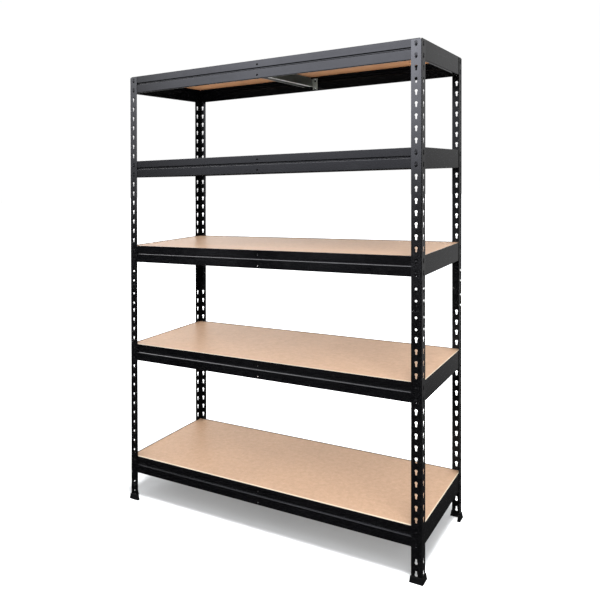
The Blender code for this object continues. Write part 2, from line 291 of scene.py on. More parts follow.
def bake(draft, name, smooth):
    """Mesh with faces pointing out, edges sharp above `smooth` degrees and
    weighted normals."""
    bmesh.ops.recalc_face_normals(draft, faces=draft.faces)
    mesh = bpy.data.meshes.new(name)
    draft.to_mesh(mesh)
    draft.free()
    mesh.shade_smooth()
    mesh.set_sharp_from_angle(angle=math.radians(smooth))
    holder = bpy.data.objects.new("holder", mesh)
    bpy.context.scene.collection.objects.link(holder)
    weights = holder.modifiers.new("weights", "WEIGHTED_NORMAL")
    weights.keep_sharp = True
    weights.weight = 50
    bpy.context.view_layer.update()
    graph = bpy.context.evaluated_depsgraph_get()
    out = bpy.data.meshes.new_from_object(holder.evaluated_get(graph))
    out.name = mesh.name
    bpy.data.objects.remove(holder, do_unlink=True)
    return out


def to_mesh(name, shells, smooth=50.0):
    draft = bmesh.new()
    for shell in shells:
        fill(draft, shell)
    return bake(draft, name, smooth)


def revolve(profile, axis_place, count=28):
    """Closed turned body: profile of (radius, height) from axis to axis."""
    verts, faces, rings = [], [], []
    for radius, height in profile:
        if radius < 1e-7:
            rings.append([len(verts)])
            verts.append(axis_place(0.0, 0.0, height))
        else:
            rings.append(list(range(len(verts), len(verts) + count)))
            for k in range(count):
                turn = 2 * math.pi * k / count
                verts.append(axis_place(radius * math.cos(turn), radius * math.sin(turn),
                                        height))
    for a, b in zip(rings, rings[1:]):
        for k in range(count):
            m = (k + 1) % count
            if len(a) == 1:
                faces.append((a[0], b[k], b[m]))
            elif len(b) == 1:
                faces.append((a[m], a[k], b[0]))
            else:
                faces.append((a[m], a[k], b[k], b[m]))
    return verts, faces


def loft(rings):
    """Closed body through rings of equal count, capped at both ends."""
    n = len(rings[0])
    verts = [point for ring in rings for point in ring]
    faces = [tuple(reversed(range(n))), tuple(range(len(verts) - n, len(verts)))]
    for r in range(len(rings) - 1):
        for k in range(n):
            m = (k + 1) % n
            faces.append((r * n + k, r * n + m, (r + 1) * n + m, (r + 1) * n + k))
    return verts, faces


def round_box(low, high, radius, steps=2):
    """Box with rounded edges, as a shell."""
    draft = bmesh.new()
    bmesh.ops.create_cube(draft, size=1.0)
    size = Vector(high) - Vector(low)
    mid = (Vector(high) + Vector(low)) / 2
    for v in draft.verts:
        v.co = Vector((v.co.x * size.x, v.co.y * size.y, v.co.z * size.z)) + mid
    bmesh.ops.bevel(draft, geom=list(draft.edges), offset=radius, segments=steps,
                    profile=0.5, affect="EDGES", clamp_overlap=True)
    draft.verts.index_update()
    shell = ([tuple(v.co) for v in draft.verts],
             [tuple(v.index for v in f.verts) for f in draft.faces])
    draft.free()
    return shell


# ------------------------------------------------------------- hole outlines
def radius_by_angle(outline):
    """Star-shaped outline to a function of angle."""
    points = np.array(outline)
    angles = np.arctan2(points[:, 1], points[:, 0])
    radii = np.hypot(points[:, 0], points[:, 1])
    order = np.argsort(angles)
    angles, radii = angles[order], radii[order]
    return lambda angle: float(np.interp(angle, angles, radii, period=2 * math.pi))


def keyhole(way):
    """Keyhole: round wide part above a square-ended slot; way -1 turns it over."""
    # millimetres from the keyhole's centre
    disc_y, disc_r = 4.5, 5.0
    slot_half, slot_taper = 2.85, 0.022          # taper widens each side upwards
    corner_y, corner_r = -7.4, 2.0               # rounded foot of the slot
    slot_top, disc_low = -1.2, 3.0               # the neck lies between these
    neck_blend = 0.4                             # softens where slot meets disc
    low, high = corner_y - corner_r, disc_y + disc_r
    steps = 240
    right = []
    for k in range(steps + 1):
        y = low + (high - low) * (0.5 - 0.5 * math.cos(math.pi * k / steps))
        slot = slot_half + max(y - corner_y, 0.0) * slot_taper
        if y < corner_y:
            slot = (slot_half - corner_r
                    + math.sqrt(max(0.0, corner_r ** 2 - (y - corner_y) ** 2)))
        disc = math.sqrt(max(0.0, disc_r ** 2 - (y - disc_y) ** 2))
        if y > disc_low:
            half = disc
        elif y < slot_top:
            half = slot
        else:
            blend = max(neck_blend - abs(slot - disc), 0.0) / neck_blend
            half = max(slot, disc) + blend * blend * neck_blend * 0.25
        right.append((half * MM, y * MM))
    left = [(-x, y) for x, y in reversed(right)]
    return radius_by_angle([(x, way * y) for x, y in right + left])


def slot_reach(half_s, half_v, corner):
    """Rectangle with rounded corners, as a radius by angle."""
    out = []
    for side_s, side_v, start in ((1, 1, 0), (-1, 1, 90), (-1, -1, 180), (1, -1, 270)):
        for k in range(13):
            turn = math.radians(start + 7.5 * k)
            out.append((side_s * (half_s - corner) + corner * math.cos(turn),
                        side_v * (half_v - corner) + corner * math.sin(turn)))
    dense = []
    for a, b in zip(out, out[1:] + out[:1]):
        dense += [(a[0] + (b[0] - a[0]) * k / 12, a[1] + (b[1] - a[1]) * k / 12)
                  for k in range(12)]
    return radius_by_angle(dense)


# --------------------------------------------------------- posts and splices
def upright(x, y, v):
    """Fold plan in X and Y, v up."""
    return x, y, v


def post_mesh(length, flange):
    """Post half, outer corner and top at the local origin."""
    mid = POST_T / 2
    fold = Fold([(-flange, mid), (-mid, mid), (-mid, flange)], [1.5 * MM])
    columns = [fold.along(0, flange - HOLE_INSET), fold.along(1, HOLE_INSET - mid)]
    up, down = keyhole(1), keyhole(-1)
    levels = [(-(FIRST_HOLE + PITCH * k), up) for k in range(HOLES)]
    levels += [(-drop, down) for drop in INVERTED]
    half_s, half_v = 8.0 * MM, 13.0 * MM
    s_lines = fold.lines([x for c in columns for x in cut_lines(c, half_s, 8)])
    v_lines = tidy([-length, -length + END_LINE, 0.0]
                   + [x for z, _ in levels for x in cut_lines(z, half_v, 12)])
    holes = [Hole(c, z, half_s, half_v, reach) for c in columns for z, reach in levels]
    return to_mesh("post_half_fine", [sheet(fold, POST_T, s_lines, v_lines, upright,
                                            holes=holes, rim=0.22 * MM)])


def splice_mesh(up, down):
    """Angle plate behind the post, outer corner and joint at the local origin."""
    mid = SEAT + SPLICE_T / 2
    reach = SEAT + SPLICE_FLANGE
    fold = Fold([(-reach, mid), (-mid, mid), (-mid, reach)], [1.8 * MM])
    s_lines = fold.lines([END_LINE, fold.length - END_LINE])
    v_lines = tidy([-down, -down + END_LINE, up - END_LINE, up]
                   + [-down + (up + down) * k / 8 for k in range(1, 8)])
    return to_mesh("splice_fine", [sheet(fold, SPLICE_T, s_lines, v_lines, upright,
                                         rim=0.3 * MM)])


# -------------------------------------------------------------------- rivets
# Closed-over inner end: share of the tail radius, height above the sheet in mm
RIVET_TAIL = [(0.0, 0.80), (0.45, 0.78), (0.80, 0.62), (1.0, 0.30), (0.98, 0.05),
              (0.9, -0.02)]


def rivet_profile(tail_r, sheet_face, shank_r, head_r, head_base, head_height, lip):
    """Rivet from its inner crown to the crown of its domed outer head."""
    profile = [(tail_r * share, sheet_face + rise * MM) for share, rise in RIVET_TAIL]
    profile += [(shank_r, sheet_face - 0.1 * MM), (shank_r, head_base),
                (head_r - 0.25 * MM, head_base), (head_r, head_base - lip)]
    steps = 7
    for k in range(1, steps):
        turn = math.radians(90 * k / steps)
        profile.append((head_r * math.cos(turn),
                        head_base - lip - (head_height - lip) * math.sin(turn)))
    return profile + [(0.0, head_base - head_height)]


def beam_rivets(half):
    profile = rivet_profile(tail_r=3.7 * MM, sheet_face=BEAM_T, shank_r=2.5 * MM,
                            head_r=4.7 * MM, head_base=-1.8 * MM, head_height=1.6 * MM,
                            lip=0.30 * MM)
    shells = []
    for side in (-1, 1):
        x = side * (half + BEAM_END_GAP - HOLE_INSET)
        for drop in RIVET_DROPS:
            shells.append(revolve(profile, lambda right, up, depth:
                                  (x + right, depth, -drop + up)))
    return to_mesh("beam_rivets_fine", shells, 40.0)


def splice_rivets():
    """Rivets through both flanges, above and below the joint."""
    profile = rivet_profile(tail_r=3.1 * MM, sheet_face=SEAT + SPLICE_T,
                            shank_r=2.4 * MM, head_r=4.1 * MM, head_base=-0.3 * MM,
                            head_height=1.7 * MM, lip=0.40 * MM)
    levels = [POST_LENGTH - drop + SPLICE_RIVET_OFFSET for drop in INVERTED]
    levels += [-FIRST_HOLE - PITCH * k - SPLICE_RIVET_OFFSET for k in range(2)]
    shells = []
    for z in levels:
        shells.append(revolve(profile, lambda right, up, depth:
                              (-HOLE_INSET + right, depth, z + up)))
        shells.append(revolve(profile, lambda right, up, depth:
                              (-depth, HOLE_INSET + right, z + up)))
    return to_mesh("splice_rivets_fine", shells, 40.0)


# --------------------------------------------------------------------- beams
LIP_REACH = 10.0 * MM       # lip along the bottom edge
LEDGE_Z = -11.5 * MM        # ledge, and the level its edge turns down to
LEDGE_LOW_Z = -18.0 * MM
LIP_R, GROOVE_R, HEM_R, LEDGE_R = 1.5 * MM, 1.1 * MM, 0.65 * MM, 1.0 * MM
# Groove along a long beam, upwards: depth behind the face, Z, in mm
GROOVE = [(0.0, -36.4), (3.0, -33.4), (3.0, -30.8), (0.0, -27.8)]


def beam_mesh(name, half, height, grooved):
    """Beam: local X along it, outer face Y = 0 facing -Y, top edge Z = 0."""
    mid = BEAM_T / 2
    hem_y = mid + 2 * HEM_R
    corners = [(LIP_REACH, -height + mid), (mid, -height + mid)]
    radii = [LIP_R]
    if grooved:
        corners += [(mid + depth * MM, z * MM) for depth, z in GROOVE]
        radii += [GROOVE_R] * 4
    web_leg = len(corners) - 1             # last web leg, up to the hem
    corners += [(mid, -mid), (hem_y, -mid), (hem_y, LEDGE_Z),
                (LEDGE_REACH - mid, LEDGE_Z), (LEDGE_REACH - mid, LEDGE_LOW_Z)]
    radii += [HEM_R, HEM_R, LEDGE_R, LEDGE_R]
    fold = Fold(corners, radii)
    # only the web and the hem run the full length
    web_start = fold.along(1, 2.2 * MM)
    hem_end = fold.along(web_leg + 2, 9.3 * MM)
    cut = half - LEDGE_CUT
    s_extra = [web_start, hem_end, EDGE_LINE, fold.length - EDGE_LINE]
    v_lines = [-half, half, -half + END_LINE, half - END_LINE, -cut, cut,
               -cut + END_LINE, cut - END_LINE]
    holes = []
    if grooved:
        block, count = 7.0 * MM, 8
        for leg, drop in zip((web_leg, 1), MID_DROPS):
            s = fold.along(leg, -drop - corners[leg][1])
            s_extra += cut_lines(s, block, count)
            holes.append(Hole(s, 0.0, block, block, lambda angle: MID_R))
        v_lines += cut_lines(0.0, block, count)
        start = 20.0 * MM                  # even lines from here to the cut
        v_lines += [side * (start + (cut - start) * k / 12) for side in (-1, 1)
                    for k in range(12)]
    else:
        v_lines += cut_lines(0.0, cut, 12)

    def keep(s, v):
        return abs(v) < cut or web_start < s < hem_end
    return to_mesh(name, [sheet(fold, BEAM_T, fold.lines(s_extra), tidy(v_lines),
                                lambda x, y, v: (v, x, y), keep=keep, holes=holes)])


# ---------------------------------------------------------------- centre bar
BAR_LIP_TOP = -44.0 * MM               # top of the lip on the left side
BEAM_FACE_OUT = 0.3 * MM               # beam face beyond the bar's tongues
TAB_NECK = (-51.7 * MM, -19.0 * MM)    # Z range of the strap from web to tab
NOTCH_TOP, NOTCH_HALF = -59.7 * MM, 4.0 * MM       # notch in the tab's lower edge
TAB_LINES = [z * MM for z in (-65, -63, -59.7, -51.7, -46, -40, -19, -16, -14)]
WINDOW_Z, WINDOW_HALF_X, WINDOW_HALF_Z = -25.85 * MM, 4.0 * MM, 6.15 * MM
TONGUE_HALF, TONGUE_T = 2.2 * MM, 1.1 * MM
TONGUE_LEVELS = (-19.6 * MM, -59.6 * MM)           # undersides


def bar_mesh(low, high):
    """Galvanised channel along Y with a tab at each end."""
    left = low.x + BAR_T / 2
    web_x = BAR_RIGHT - BAR_T / 2
    top_z, low_z = BAR_TOP - BAR_T / 2, BAR_LOW + BAR_T / 2
    beam_face = high.y + BEAM_FACE_OUT
    channel_half = beam_face - LEDGE_REACH - 0.5 * MM
    tab_y = beam_face - BEAM_T - 3.4 * MM - TAB_T / 2

    channel = Fold([(left, BAR_LIP_TOP), (left, low_z), (web_x, low_z),
                    (web_x, top_z), (low.x, top_z)], [1.4 * MM] * 3)
    v_lines = tidy(cut_lines(0.0, channel_half, 16)
                   + [-channel_half + END_LINE, channel_half - END_LINE])
    s_lines = channel.lines([EDGE_LINE, channel.length - EDGE_LINE])
    shells = [sheet(channel, BAR_T, s_lines, v_lines, lambda x, z, v: (x, v, z))]

    tab = Fold([(web_x, channel_half - 4 * MM), (web_x, tab_y), (high.x, tab_y)],
               [2.0 * MM])
    turn_end = tab.along(1, 2.1 * MM)
    centre = tab.along(1, -web_x)          # s where X = 0
    block_s, block_v = 6.0 * MM, 8.0 * MM
    s_lines = tab.lines([turn_end, centre - NOTCH_HALF, centre + NOTCH_HALF]
                        + cut_lines(centre, block_s, 8))
    v_lines = tidy(TAB_LINES + cut_lines(WINDOW_Z, block_v, 8))
    window = Hole(centre, WINDOW_Z, block_s, block_v,
                  slot_reach(WINDOW_HALF_X, WINDOW_HALF_Z, 0.8 * MM))

    def keep(s, v):
        if s < turn_end:
            return TAB_NECK[0] < v < TAB_NECK[1]
        return not (v < NOTCH_TOP and abs(s - centre) < NOTCH_HALF)

    for side in (-1, 1):
        # slightly thinner than the nominal tab sheet
        shells.append(sheet(tab, TAB_T * 0.96, s_lines, v_lines,
                            lambda x, y, v: (x, side * y, v), keep=keep, holes=[window]))
        for z in TONGUE_LEVELS:
            y0, y1 = sorted((side * (tab_y - 0.2 * MM), side * high.y))
            shells.append(round_box((-TONGUE_HALF, y0, z),
                                    (TONGUE_HALF, y1, z + TONGUE_T), 0.18 * MM))
    return to_mesh("centre_bar_fine", shells)


# ----------------------------------------------------------- boards and feet
def board_mesh(size):
    """MDF board with a light arris all round, centred on its underside."""
    half_x, half_y = size.x / 2, size.y / 2
    draft = bmesh.new()
    fill(draft, round_box((-half_x, -half_y, 0.0), (half_x, half_y, size.z),
                          0.8 * MM, 3))
    for axis, count, reach in ((0, 26, half_x), (1, 10, half_y)):
        for k in range(1, count):
            cut = Vector((0, 0, 0))
            normal = Vector((0, 0, 0))
            cut[axis] = reach * (2 * k / count - 1)
            normal[axis] = 1.0
            bmesh.ops.bisect_plane(draft, plane_co=cut, plane_no=normal,
                                   geom=draft.verts[:] + draft.edges[:] + draft.faces[:])
    return bake(draft, "board_fine", 50.0)


# Foot sections: outset from the post sheet, Z, corner radius, in mm.  They go
# up the outside, over the rim and down inside.
FOOT_SECTIONS = [
    (5.2, 0.0, 2.3), (5.65, 0.25, 2.6), (5.8, 0.8, 2.7), (5.8, 2.6, 2.7),
    (5.6, 3.5, 2.6), (5.1, 5.0, 2.5), (4.5, 8.0, 2.3), (3.95, 11.5, 2.1),
    (3.55, 14.5, 2.0), (3.35, 16.4, 1.9), (3.3, 17.4, 1.9), (3.2, 18.6, 1.8),
    (2.95, 19.6, 1.7), (2.6, 20.3, 1.6), (2.1, 20.8, 1.4), (1.5, 21.0, 1.2),
    (0.75, 21.0, 0.5), (0.40, 20.7, 0.35), (0.30, 20.2, 0.3), (0.30, 3.0, 0.3)]


def foot_ring(flange, out, z, radius):
    """L-shaped section round the post sheet with its six corners rounded."""
    end, inner = flange + out, POST_T + out
    corners = [Vector(p) for p in ((out, -out), (out, end), (-inner, end),
                                   (-inner, inner), (-end, inner), (-end, -out))]
    if radius > 0.5 * MM:
        radius = min(radius, POST_T / 2 + out * 0.95)
    ring = []
    for k, corner in enumerate(corners):
        back = (corners[k - 1] - corner).normalized()
        ahead = (corners[(k + 1) % 6] - corner).normalized()
        centre = corner + (back + ahead) * radius
        for m in range(6):
            turn = math.radians(18 * m)
            away = -ahead * math.cos(turn) - back * math.sin(turn)
            ring.append((centre.x + away.x * radius, centre.y + away.y * radius, z))
    return ring


def foot_mesh(flange):
    """Moulded cap round the end of a post; the floor is Z = 0."""
    return to_mesh("foot_fine", [loft([foot_ring(flange, out * MM, z * MM, radius * MM)
                                       for out, z, radius in FOOT_SECTIONS])], 45.0)


# -------------------------------------------------------------- shader nodes
class Nodes:
    """Node tree of a material or world, with a short call for common nodes."""

    def __init__(self, owner):
        owner.use_nodes = True
        self.tree = owner.node_tree
        self.tree.nodes.clear()

    def add(self, kind, inputs=None, **props):
        """New node; an input is a value or a socket to link from."""
        node = self.tree.nodes.new(kind)
        for key, value in props.items():
            setattr(node, key, value)
        for key, value in (inputs or {}).items():
            if isinstance(value, bpy.types.NodeSocket):
                self.tree.links.new(value, node.inputs[key])
            else:
                node.inputs[key].default_value = value
        return node

    def calc(self, operation, a, b=0.0, clamp=False):
        return self.add("ShaderNodeMath", {0: a, 1: b}, operation=operation,
                        use_clamp=clamp).outputs[0]

    def plus(self, a, b):
        return self.calc("ADD", a, b)

    def minus(self, a, b):
        return self.calc("SUBTRACT", a, b)

    def times(self, a, b, clamp=False):
        return self.calc("MULTIPLY", a, b, clamp)

    def size(self, a):
        return self.calc("ABSOLUTE", a)

    def span(self, value, within=(0.0, 1.0), to=(0.0, 1.0), kind="LINEAR"):
        """Value from one range to another, held at the ends."""
        node = self.add("ShaderNodeMapRange", {0: value, 1: within[0], 2: within[1],
                                               3: to[0], 4: to[1]})
        node.interpolation_type = kind
        return node.outputs[0]

    def ease(self, value, within, to=(0.0, 1.0)):
        """A span with soft ends."""
        return self.span(value, within, to, "SMOOTHSTEP")

    def spread(self, value, low=0.0, high=1.0):
        """The usual range of a noise to low..high."""
        return self.span(value, (0.3, 0.7), (low, high))

    def blend(self, amount, start, end):
        return self.add("ShaderNodeMixRGB", {"Fac": amount, "Color1": start,
                                             "Color2": end}, blend_type="MIX"
                        ).outputs["Color"]

    def axes(self, space="Object"):
        split = self.add("ShaderNodeSeparateXYZ",
                         {0: self.add("ShaderNodeTexCoord").outputs[space]})
        return [split.outputs[axis] for axis in "XYZ"]


class Finish(Nodes):
    """Principled material; its textures are shifted for each object."""

    def __init__(self, name):
        self.material = bpy.data.materials.new(name)
        super().__init__(self.material)
        out = self.add("ShaderNodeOutputMaterial")
        self.shader = self.add("ShaderNodeBsdfPrincipled")
        self.tree.links.new(self.shader.outputs["BSDF"], out.inputs["Surface"])
        coord = self.add("ShaderNodeTexCoord").outputs["Object"]
        random = self.add("ShaderNodeObjectInfo").outputs["Random"]
        largest_shift = (7.3, 3.1, 5.7)
        self.coord = self.vector("ADD", coord,
                                 self.vector("MULTIPLY", random, largest_shift))

    def vector(self, operation, a, b):
        return self.add("ShaderNodeVectorMath", {0: a, 1: b},
                        operation=operation).outputs[0]

    def noise(self, scale, detail=2.0, rough=0.5, distortion=0.0, vector=None,
              output="Fac"):
        return self.add("ShaderNodeTexNoise",
                        {"Vector": vector or self.coord, "Scale": scale,
                         "Detail": detail, "Roughness": rough,
                         "Distortion": distortion}).outputs[output]

    def stretched(self, scale):
        return self.add("ShaderNodeMapping", {"Vector": self.coord, "Scale": scale}
                        ).outputs["Vector"]

    def streaks(self, scale, **look):
        """Noise with its own scale on each axis."""
        return self.noise(1.0, vector=self.stretched(scale), **look)

    def drawn_lines(self, axis, fine, coarse):
        """Lines along an axis; an axis of None leaves plain fine noise."""
        scale = [fine] * 3
        if axis is not None:
            scale[axis] = coarse
        return self.streaks(scale, detail=3.0, rough=0.6)

    def cells(self, vector, scale):
        """A random level for each cell."""
        node = self.add("ShaderNodeTexVoronoi", {"Vector": vector, "Scale": scale})
        return self.times(node.outputs["Color"], 1.0)

    def valued(self, colour, value):
        return self.add("ShaderNodeHueSaturation", {"Color": colour, "Value": value}
                        ).outputs["Color"]

    def pointiness(self):
        return self.add("ShaderNodeNewGeometry").outputs["Pointiness"]

    def finish(self, colour, roughness, height, depth, specular=0.5):
        bump = self.add("ShaderNodeBump",
                        {"Strength": 1.0, "Distance": depth, "Height": height})
        for key, value in (("Base Color", colour), ("Roughness", roughness),
                           ("Normal", bump.outputs["Normal"])):
            self.tree.links.new(value, self.shader.inputs[key])
        self.shader.inputs["Specular IOR Level"].default_value = specular
        return self.material


# ----------------------------------------------------------------- materials
def powder_coat(name, along, rough=0.175, specular=0.5):
    """Black powder coat: orange peel, faint rolling lines, worn edges."""
    dark, light = (0.0013, 0.0013, 0.0016, 1), (0.0023, 0.0023, 0.0027, 1)
    dusty, edge_wear_and_highlight = (0.0072, 0.0072, 0.0070, 1), (0.045, 0.045, 0.048, 1)
    coat = Finish(name)
    lines = coat.drawn_lines(along, fine=380.0, coarse=1.6)
    broad = coat.noise(scale=4.0, detail=4.0, rough=0.55)
    patch = coat.noise(scale=38.0, detail=4.0, rough=0.6)
    peel = coat.noise(scale=620.0, detail=1.0, rough=0.4)
    grit = coat.noise(scale=2600.0, detail=1.0, rough=0.5)
    edge = coat.ease(coat.pointiness(), within=(0.53, 0.60))
    rub = coat.span(coat.noise(scale=120.0, detail=3.0, rough=0.6),
                    within=(0.40, 0.62), to=(0.15, 1.0))
    wear = coat.times(edge, rub, clamp=True)
    colour = coat.blend(coat.spread(broad), dark, light)
    dust = coat.span(patch, within=(0.56, 0.80), to=(0.0, 0.30))
    colour = coat.blend(dust, colour, dusty)
    colour = coat.blend(coat.times(wear, 0.30), colour, edge_wear_and_highlight)
    # roughness swings round its base with each texture
    roughness = coat.plus(coat.spread(broad, rough - 0.03, rough + 0.04),
                          coat.spread(lines, -0.025, 0.025))
    roughness = coat.plus(roughness, coat.span(patch, within=(0.4, 0.8), to=(0.0, 0.05)))
    # share of each texture in the relief
    height = coat.plus(coat.times(peel, 1.0), coat.times(grit, 0.12))
    height = coat.plus(height, coat.times(lines, 0.45))
    return coat.finish(colour, roughness, height, depth=0.014 * MM, specular=specular)


class Zinc(Finish):
    """Zinc: crystal patches (or fine plating), drawing lines, painted highlights on the
    edges and painted shade in the creases.
    """

    def __init__(self, name, base, grain_rough, spangle, metal, along=None):
        super().__init__(name)
        crease_shade_colour, edge_highlight_colour = (0.16, 0.155, 0.14, 1), (0.90, 0.90, 0.88, 1)
        # the crystals are warped by a share of their own size
        shift = self.noise(scale=spangle * 1.7, output="Color")
        shift = self.vector("MULTIPLY", shift, (0.35 / spangle,) * 3)
        self.grain = self.cells(self.vector("ADD", self.coord, shift), spangle)
        self.lines = self.drawn_lines(along, fine=300.0, coarse=2.0)
        self.cloud = self.noise(scale=26.0, detail=4.0, rough=0.6)
        # brightness swing of each texture
        tone = self.plus(self.span(self.grain, to=(-0.07, 0.07)),
                         self.spread(self.cloud, -0.06, 0.05))
        tone = self.plus(tone, self.spread(self.lines, -0.03, 0.03))
        colour = self.valued((*base, 1), self.plus(tone, 1.0))
        # painted shade darkens the concave creases and a painted highlight lightens the
        # sharp edges, both read from pointiness
        point = self.pointiness()
        crease_shade = self.span(point, within=(0.40, 0.49), to=(0.45, 0.0))
        colour = self.blend(crease_shade, colour, crease_shade_colour)
        bright = self.times(self.ease(point, within=(0.52, 0.57)),
                            self.span(self.cloud, within=(0.35, 0.6), to=(0.6, 1.0)))
        self.colour = self.blend(bright, colour, edge_highlight_colour)
        self.roughness = self.plus(self.span(self.grain, to=grain_rough),
                                   self.spread(self.cloud, -0.03, 0.05))
        self.metal = metal
        self.shader.inputs["Metallic"].default_value = metal

    def tint(self, amount, colour):
        self.colour = self.blend(amount, self.colour, colour)

    def done(self):
        height = self.plus(self.times(self.grain, 0.3), self.lines)
        return self.finish(self.colour, self.roughness, height, depth=0.02 * MM)


def galvanised_bar():
    """Spangled zinc, with painted shade on the tab faces, painted highlights along the
    bends and painted shade on the bottom flange.
    """
    low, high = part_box("centre_bar_shelf_1")
    tab_face = high.y - 4.3 * MM
    low_bend, top_bend = -50.6 * MM, -13.9 * MM       # Z where the bends begin
    bend_fade = 0.6 * MM
    mid_x, half_x = (low.x + BAR_RIGHT) / 2, (BAR_RIGHT - low.x) / 2
    tab_shade_colour, bend_highlight_colour = (0.020, 0.020, 0.019, 1), (0.80, 0.80, 0.77, 1)
    flange_shade_colour = (0.045, 0.045, 0.040, 1)
    zinc = Zinc("galvanised_bar", base=(0.27, 0.28, 0.25), grain_rough=(0.28, 0.42),
                spangle=160.0, metal=0.93, along=1)
    y = zinc.axes()[1]
    # painted shade: the tab's outer face and the tongues, in the recess behind the beam
    # holes, are darkened
    tab_shade = zinc.span(zinc.size(y), within=(tab_face - 1.0 * MM, tab_face),
                      to=(0.0, 0.93))
    zinc.tint(tab_shade, tab_shade_colour)
    zinc.roughness = zinc.plus(zinc.roughness, zinc.times(tab_shade, 0.25))

    # painted highlight: pale bands along the bottom bends, and half strength over the top
    # bend and flange
    x, y, z = zinc.axes()
    across = zinc.size(zinc.minus(x, mid_x))
    bend = zinc.span(across, within=(half_x - 8.5 * MM, half_x - 6.0 * MM))
    low_part = zinc.times(bend, zinc.span(z, within=(low_bend + bend_fade, low_bend)))
    top_part = zinc.span(z, within=(top_bend - bend_fade, top_bend), to=(0.0, 0.5))
    bend_highlight = zinc.calc("MAXIMUM", low_part, top_part)
    # 1 on the channel, 0 on the tabs
    inside = zinc.span(zinc.size(y), within=(tab_face - 4.0 * MM, tab_face - 3.0 * MM),
                       to=(1.0, 0.0))
    bend_highlight = zinc.times(bend_highlight, inside)
    bend_highlight = zinc.times(bend_highlight, zinc.span(zinc.cloud, within=(0.3, 0.6), to=(0.75, 1.0)))
    bend_highlight = zinc.times(bend_highlight, zinc.span(x, within=(low.x, BAR_RIGHT), to=(0.45, 1.0)))
    zinc.tint(bend_highlight, bend_highlight_colour)
    tab = zinc.times(zinc.minus(1.0, inside), zinc.minus(1.0, tab_shade))
    metallic = zinc.span(zinc.calc("MAXIMUM", bend_highlight, tab), to=(zinc.metal, 0.35))
    zinc.tree.links.new(metallic, zinc.shader.inputs["Metallic"])
    # painted shade: the bottom flange, where no highlight is painted, is darkened
    lower = zinc.times(inside, zinc.minus(1.0, bend_highlight))
    zinc.tint(zinc.times(lower, zinc.span(z, within=(low_bend + bend_fade, low_bend),
                                          to=(0.0, 0.95))), flange_shade_colour)
    return zinc.done()


def bright_zinc_rivet():
    """Fine bright plating; the ends inside the post are coated over."""
    zinc = Zinc("bright_zinc_rivet", base=(0.93, 0.93, 0.92), grain_rough=(0.22, 0.32),
                spangle=900.0, metal=0.25)
    x, y, _ = zinc.axes()
    depth = zinc.calc("MINIMUM", y, zinc.times(x, -1.0))
    coating = (0.0025, 0.0025, 0.003, 1)
    zinc.tint(zinc.span(depth, within=(1.2 * MM, 1.6 * MM)), coating)
    return zinc.done()


def fibreboard(name, half):
    """MDF: pressed fibre flecks, sanding lines, darker fuzzy sawn sides."""
    face_dark, face_light = (0.600, 0.378, 0.238, 1), (0.642, 0.422, 0.280, 1)
    # underside is a painted shade colour for faces turned down
    chip_dark, underside = (0.35, 0.22, 0.13, 1), (0.430, 0.205, 0.092, 1)
    sawn, board_highlight_pale = (0.42, 0.285, 0.180, 1), (0.93, 0.80, 0.62, 1)
    # colours that bounced light and reflections pick up instead
    bounced, reflected = (0.40, 0.37, 0.34, 1), (0.05, 0.045, 0.04, 1)
    board = Finish(name)
    normal_z = board.axes("Normal")[2]
    level = board.size(normal_z)           # 1 on the faces, 0 on the sides
    side = board.ease(level, within=(0.25, 0.75), to=(1.0, 0.0))
    arris = board.times(board.ease(level, within=(0.985, 0.90)),
                        board.ease(level, within=(0.10, 0.35)))
    broad = board.noise(scale=3.2, detail=4.0, rough=0.6)
    mottle = board.noise(scale=55.0, detail=5.0, rough=0.65, distortion=0.4)
    fibre = board.streaks((260.0, 620.0, 500.0), detail=4.0, rough=0.7, distortion=1.2)
    chip = board.cells(board.stretched((330.0, 520.0, 420.0)), 1.0)
    sand = board.streaks((2.5, 900.0, 300.0), detail=2.0, rough=0.6)
    # brightness swing of each texture
    value = board.spread(broad, 0.965, 1.035)
    for part in (board.spread(mottle, -0.045, 0.045),
                 board.span(fibre, within=(0.25, 0.75), to=(-0.085, 0.085)),
                 board.span(chip, to=(-0.055, 0.055)),
                 board.spread(sand, -0.022, 0.022)):
        value = board.plus(value, part)
    warm = board.blend(board.span(mottle, within=(0.35, 0.7)), face_dark, face_light)
    warm = board.blend(board.span(chip, within=(0.90, 0.97), to=(0.0, 0.35)), warm,
                       chip_dark)
    # painted shade: faces turned down take the darker, redder underside colour
    under = board.ease(normal_z, within=(-0.3, -0.8))
    warm = board.blend(under, warm, underside)
    warm = board.blend(side, warm, sawn)
    # painted highlight: a pale ragged band along the front edge, and 2.4 times narrower on
    # the right
    x, y, _ = board.axes()
    near = board.calc("MINIMUM", board.plus(y, half.y),
                      board.times(2.4, board.minus(half.x, x)))
    ragged = board.plus(near, board.spread(mottle, -1.5 * MM, 1.5 * MM))
    edge_wear_and_highlight = board.ease(ragged, within=(7.5 * MM, 12.5 * MM), to=(0.85, 0.0))
    edge_wear_and_highlight = board.times(edge_wear_and_highlight, board.span(side, to=(1.0, 0.2)))
    # the painted highlight also lies on the rounded arris all round
    edge_wear_and_highlight = board.calc("MAXIMUM", edge_wear_and_highlight, board.times(arris, 0.85))
    warm = board.blend(edge_wear_and_highlight, warm, board_highlight_pale)
    colour = board.valued(warm, value)
    path = board.add("ShaderNodeLightPath").outputs
    colour = board.blend(path["Is Diffuse Ray"], colour, bounced)
    colour = board.blend(board.times(path["Is Glossy Ray"],
                                     board.span(under, to=(0.75, 1.0))),
                         colour, reflected)
    roughness = board.span(fibre, within=(0.25, 0.75), to=(0.40, 0.56))
    # share of chips and sanding in the relief
    height = board.plus(fibre, board.times(chip, 0.4))
    height = board.plus(height, board.times(sand, 0.3))
    return board.finish(colour, roughness, height, depth=0.04 * MM, specular=0.45)


